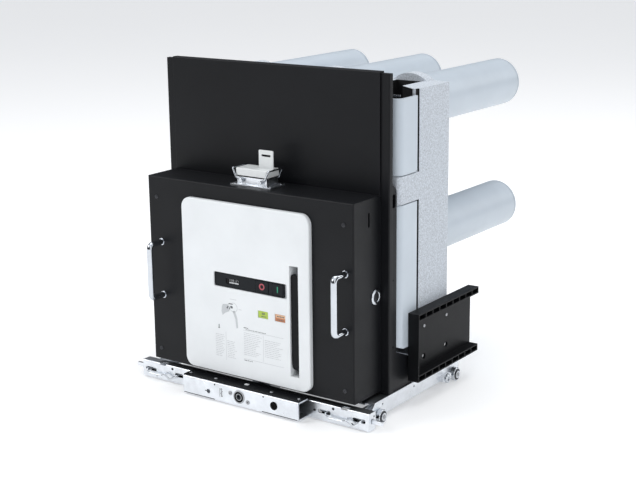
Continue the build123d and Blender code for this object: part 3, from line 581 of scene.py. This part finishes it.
def picture_dark(work):
    polygon(work, ((-36, 151), (-33, 155), (-31.6, 154), (-34, 149.5)), COVER_Y, 0.05)
    polygon(work, ((-33, 157), (-30, 159.5), (-23, 158.8), (-23.6, 157.6), (-29.5, 157.8)), COVER_Y, 0.05)
    polygon(work, ((-31, 150), (-28.5, 155), (-27.4, 154.4), (-29.6, 149.2)), COVER_Y, 0.05)
    disc(work, Vector((-0.0255, COVER_Y + 0.0001, 0.1535)), FORWARD, 0.0021, 0.00015, 20)


# Counter digits as seven-stroke figures
STROKES = {"0": "abcdef", "1": "bc", "2": "abged", "3": "abgcd", "4": "fgbc", "7": "abc", "8": "abcdefg"}


def digit(work, figure, x, z, width, height, face_y):
    stroke_width = 0.28
    half = height / 2
    tiles = {
        "a": (x, x + width, z + height - stroke_width, z + height),
        "d": (x, x + width, z, z + stroke_width),
        "g": (x, x + width, z + half - stroke_width / 2, z + half + stroke_width / 2),
        "b": (x + width - stroke_width, x + width, z + half, z + height),
        "c": (x + width - stroke_width, x + width, z, z + half),
        "f": (x, x + stroke_width, z + half, z + height),
        "e": (x, x + stroke_width, z, z + half),
    }
    for stroke in STROKES[figure]:
        x_min, x_max, z_min, z_max = tiles[stroke]
        flat(work, x_min, x_max, z_min, z_max, face_y, 0.06)


def counter_figures(work):
    face = low("operation_counter").y
    left = low("operation_counter").x / MM
    base = low("operation_counter").z / MM
    for index, figure in enumerate("000127"):
        digit(work, figure, left + 7.0 + index * 3.0, base + 4.6, 2.0, 2.9, face)
    for index in range(7):
        flat(work, left + 6.6 + index * 2.6, left + 8.4 + index * 2.6, base + 1.2, base + 3.3, face, 0.06)


def button_ring(work):
    centre = middle("off_button")
    face = low("off_button").y
    ring(work, Vector((centre.x, face + 0.0001, centre.z)), FORWARD, 0.0029, 0.0052, 0, 0.00025, 0.00004, 48)


def button_bar(work):
    centre = middle("on_button")
    face = low("on_button").y
    flat(work, centre.x / MM - 0.9, centre.x / MM + 0.9, centre.z / MM - 4.8, centre.z / MM + 4.8, face, 0.15)


def window_marks(work):
    face = low("spring_indicator").y
    left = low("spring_indicator").x / MM
    base = low("spring_indicator").z / MM
    for index in range(4):
        lift = 0.9 if index % 2 else 0.0
        x_min = left + 7.0 + index * 1.5
        flat(work, x_min, left + 8.0 + index * 1.5, base + 5.0 + lift, base + 8.0 + lift, face, 0.05)
    flat(work, left + 5.5, left + 14.5, base + 2.2, base + 3.2, face, 0.05)
    face = low("position_indicator").y
    left = low("position_indicator").x / MM
    base = low("position_indicator").z / MM
    for index in range(5):
        flat(work, left + 3.0 + index * 2.9, left + 5.2 + index * 2.9, base + 6.8, base + 8.6, face, 0.09)
    for index in range(4):
        flat(work, left + 4.2 + index * 3.1, left + 6.4 + index * 3.1, base + 1.6, base + 3.2, face, 0.09)


def window_band(work):
    node_low = low("position_indicator") / MM
    node_high = high("position_indicator") / MM
    face = low("position_indicator").y
    flat(work, node_low.x + 0.6, node_high.x - 0.6, node_low.z + 5.6, node_high.z - 0.8, face, 0.05)


def front_screws(work):
    for x, z in ((-178, 308), (178, 308), (-180, 57), (179, 57)):
        pan_screw(work, at(x, 0.05, z), FORWARD, 0.0033, 0.0013)


def racking_screws(work):
    face = (low("racking_housing").y - FRONT_Y) / MM
    for x, z in ((-17, 21.6), (17, 13.3)):
        pan_screw(work, at(x, face + 0.05, z), FORWARD, 0.0036, 0.0012)
    top = high("racking_cover_plate").z / MM
    for x in (-106, -55, 54, 106):
        pan_screw(work, at(x, -15, top - 0.05), UP, 0.0030, 0.0012)


def racking_tab(work):
    top = high("racking_cover_plate").z
    slab(work, at(-0.5, -13, 0) + Vector((0, 0, top)), at(6.5, -8, 0) + Vector((0, 0, top + 0.0012)), 0.0003)


# Dark marks on the racking housing's face: a black plug, dark discs painted as shade in two small holes, dark
# strips along the bottom edge, a dark tile painted as shade in a notch, and scale marks.
def racking_darks(work):
    face_y = low("racking_housing").y
    face = (face_y - FRONT_Y) / MM
    turned(work, at(67, face + 0.05, 18.5), FORWARD, (
        (0, 0), (0.0066, 0), (0.0066, 0.0006), (0.0058, 0.0011), (0.0035, 0.0011), (0.0030, 0.0003),
        (0, 0.0003),
    ), 36)
    for x, z in ((-48, 29.0), (47, 29.0)):
        disc(work, at(x, face + 0.1, z), FORWARD, 0.0013, 0.00016)
    base = low("racking_housing").z / MM
    flat(work, -111, -48, base + 1.2, base + 2.3, face_y, 0.08)
    flat(work, 44, 111, base + 1.2, base + 2.3, face_y, 0.08)
    flat(work, -68, -63, 15.1, 16.3, face_y, 0.08)
    for step, z in enumerate((24.0, 20.4, 16.8, 13.2)):
        shift = 0.8 if step % 2 else 0.0
        ring(work, at(-35 + shift, face + 0.05, z), FORWARD, 0.0008, 0.0016, 0, 0.0001, 0.00001, 16)
    flat(work, -38.4, -37.8, 11.0, 25.5, face_y, 0.07)


def cross_marks(work, places, axis, radius, lift):
    """Dark crosses on screw heads, painted shade in their cross recesses."""
    for place in places:
        matrix = axis_matrix(place, axis)
        for wide, tall in ((radius, radius * 0.26), (radius * 0.26, radius)):
            made = bmesh.ops.create_cube(work, size=1.0)
            for vert in made["verts"]:
                local = Vector((vert.co.x * wide, vert.co.y * tall, vert.co.z * 0.0003 + lift))
                vert.co = matrix @ local


def racking_crosses(work):
    face = (low("racking_housing").y - FRONT_Y) / MM
    cross_marks(work, [at(x, face, z) for x, z in ((-17, 21.6), (17, 13.3))], FORWARD, 0.0046, 0.0009)
    top = high("racking_cover_plate").z / MM
    cross_marks(work, [at(x, -15, top) for x in (-106, -55, 54, 106)], UP, 0.0030, 0.0006)


def screw_collar(work):
    centre = middle("racking_screw")
    place = Vector((centre.x, low("racking_screw").y + 0.0002, centre.z))
    ring(work, place, FORWARD, 0.0056, 0.0086, 0, 0.0006, 0.0002)


def slot_shade_sheets(work):
    """Dark sheets painted as shade behind the slots of the front beam."""
    for side in (-1, 1):
        x_min, x_max = sorted((side * 128, side * 216))
        slab(work, at(x_min, 12.0, 5.5), at(x_max, 12.6, 21.5))


def beam_bolts(work):
    for side in (-1, 1):
        for x, z in ((side * 124.0, 16.5), (side * 158.0, 25.0), (side * 192.0, 8.0)):
            pan_screw(work, at(x, -0.95, z), FORWARD, 0.0021, 0.0009)


# Dark discs painted as shade in holes in the beam's two ends.
def end_holes(work):
    half = high("front_beam").x / MM
    for side, axis in ((-1, OUTWARD["left"]), (1, OUTWARD["right"])):
        disc(work, at(side * (half - 0.05), 12.5, 23.0), axis, 0.0014, 0.00015)


def wheel_faces(name):
    side = name.split("_")[-1]

    def make(work):
        box_low, box_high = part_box(name)
        centre = (box_low + box_high) / 2
        face = box_high.x if side == "right" else box_low.x
        place = Vector((face, centre.y, centre.z)) - Vector(OUTWARD[side]) * 0.0001
        ring(work, place, OUTWARD[side], 0.0061, 0.0090, 0, 0.00025, 0.00004, 48)
    return make


def stud_ends(work):
    for side in ("left", "right"):
        for depth in (44, 266):
            node_low, node_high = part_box(f"side_rail_{side}")
            face = node_high.x if side == "right" else node_low.x
            place = Vector((face, at(0, depth, 0).y, 0.011)) - Vector(OUTWARD[side]) * 0.0001
            turned(work, place, OUTWARD[side], ((0, 0), (0.0040, 0), (0.0040, 0.0004), (0.0030, 0.0009),
                                                (0.0013, 0.0009), (0.0010, 0.0003), (0, 0.0003)), 28)


def rail_collars(work):
    for side in ("left", "right"):
        place = at(SIGN[side] * 215.6, 236.0, 12.5)
        turned(work, place, OUTWARD[side], ((0, 0), (0.0074, 0), (0.0074, 0.0022), (0.0064, 0.0032),
                                            (0.0034, 0.0032), (0.0030, 0.0020), (0, 0.0020)), 36)


# Dark discs painted as shade in holes in the sides of the mechanism frame.
def frame_holes(work):
    for side in ("left", "right"):
        node_low, node_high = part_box("mechanism_frame")
        face = node_high.x if side == "right" else node_low.x
        for depth, z in ((86, 106), (86, 210)):
            place = Vector((face, at(0, depth, 0).y, z * MM)) - Vector(OUTWARD[side]) * 0.0001
            disc(work, place, OUTWARD[side], 0.0016, 0.00018)


def guide_screws(work):
    for side in ("left", "right"):
        for depth in (163, 231):
            place = at(SIGN[side] * 215.9, depth, 121)
            pan_screw(work, place, OUTWARD[side], 0.0026, 0.0010)


# A dark disc and a keyway slot painted as shade in the side lock's bore.
def lock_bore_shade(work):
    centre = middle("side_lock")
    disc(work, Vector((high("side_lock").x - 0.0012, centre.y, centre.z)), (1, 0, 0), 0.0073, 0.0004, 32)
    slab(work, Vector((high("side_lock").x - 0.0009, centre.y - 0.0009, centre.z - 0.0042)),
         Vector((high("side_lock").x - 0.0003, centre.y + 0.0009, centre.z + 0.0042)))


def chamber_shade_sheet(work):
    """Dark sheet painted as shade inside the front cover of each pole's open chamber."""
    for x in POLES.values():
        outline = [(x / MM - 58.7, 144.8)]
        for side in (-1, 1):
            for step in range(7):
                turn = math.radians(15 * step if side < 0 else 90 - 15 * step)
                aside = 48.7 + 10.0 * math.cos(turn)
                outline.append((x / MM + side * aside, 108.3 - 10.0 * math.sin(turn)))
        outline.append((x / MM + 58.7, 144.8))
        levels = []
        for z in (366.5, 477.4):
            levels.append([work.verts.new(at(px, depth, z)) for px, depth in outline])
        for index in range(len(outline) - 1):
            work.faces.new((levels[0][index], levels[0][index + 1], levels[1][index + 1], levels[1][index]))


def chamber_strips(work):
    for x in POLES.values():
        slab(work, at(x / MM - 50, 116, 478.2), at(x / MM + 50, 117.5, 481.6))


def connector_screws(work):
    top = low("connector_base").z + 0.002
    box_low, box_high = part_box("connector_base")
    for x in (box_low.x + 0.0045, box_high.x - 0.0045):
        for y in (middle("connector_base").y - 0.0135, middle("connector_base").y + 0.0135):
            pan_screw(work, Vector((x, y, top - 0.00005)), UP, 0.0021, 0.0010)


def connector_ribs(work):
    node_low, node_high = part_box("connector_plug")
    for index in range(9):
        x = node_low.x + 0.008 + index * 0.0034
        low_corner = (x, node_low.y + 0.004, node_high.z - 0.0002)
        slab(work, low_corner, (x + 0.0012, node_low.y + 0.012, node_high.z + 0.0004))


def details():
    piece("cover_text", printed_text, "truck", "white_cover", EXTRA["print_grey"])
    piece("cover_titles", printed_titles, "truck", "white_cover", EXTRA["print_dark"])
    piece("cover_picture_pale", picture_pale, "truck", "white_cover", EXTRA["print_grey"])
    piece("cover_picture_dark", picture_dark, "truck", "white_cover", EXTRA["print_dark"])
    piece("counter_figures", counter_figures, "truck", "counter_black", EXTRA["mark_white"])
    piece("off_ring", button_ring, "off_button", "strip_black", EXTRA["mark_red"])
    piece("on_bar", button_bar, "on_button", "strip_black", EXTRA["mark_green"])
    piece("window_marks", window_marks, "truck", "green_window", EXTRA["print_dark"])
    piece("window_band", window_band, "truck", "orange_window", EXTRA["peach"])
    piece("front_screws", front_screws, "truck", "black_coat", EXTRA["dark_screw"])
    piece("racking_screws", racking_screws, "racking_beam", "steel")
    piece("racking_tab", racking_tab, "racking_beam", "steel", EXTRA["mark_white"])
    piece("racking_darks", racking_darks, "racking_beam", "black_plastic", EXTRA["matt_black"])
    # Painted shade: dark crosses in the recesses of the racking screws.
    piece("racking_crosses", racking_crosses, "racking_beam", "black_plastic", EXTRA["matt_black"])
    piece("screw_collar", screw_collar, "racking_screw", "black_plastic", EXTRA["matt_black"])
    # Painted shade: dark sheets behind the front beam's slots.
    piece("slot_shade_sheets", slot_shade_sheets, "racking_beam", "black_plastic", EXTRA["matt_black"])
    piece("beam_bolts", beam_bolts, "racking_beam", "steel", EXTRA["dark_screw"])
    piece("end_holes", end_holes, "racking_beam", "black_plastic", EXTRA["matt_black"])
    for side in ("left", "right"):
        for end in ("front", "rear"):
            name = f"{end}_wheel_{side}"
            piece(f"{name}_shield", wheel_faces(name), name, "black_plastic", EXTRA["dark_screw"])
    piece("stud_ends", stud_ends, "truck", "steel")
    piece("rail_collars", rail_collars, "truck", "bright_chrome")
    piece("frame_holes", frame_holes, "truck", "black_plastic", EXTRA["matt_black"])
    piece("guide_screws", guide_screws, "truck", "steel")
    piece("lock_bore_shade", lock_bore_shade, "truck", "black_plastic", EXTRA["dark_screw"])
    # Painted shade: a dark sheet inside the front cover of each pole chamber.
    piece("chamber_shade_sheet", chamber_shade_sheet, "truck", "black_plastic", EXTRA["matt_black"])
    piece("chamber_strips", chamber_strips, "truck", "steel")
    piece("connector_screws", connector_screws, "truck", "steel")
    piece("connector_ribs", connector_ribs, "truck", "connector_shell")


dress_frame()
details()
camera()
studio()
render_settings()
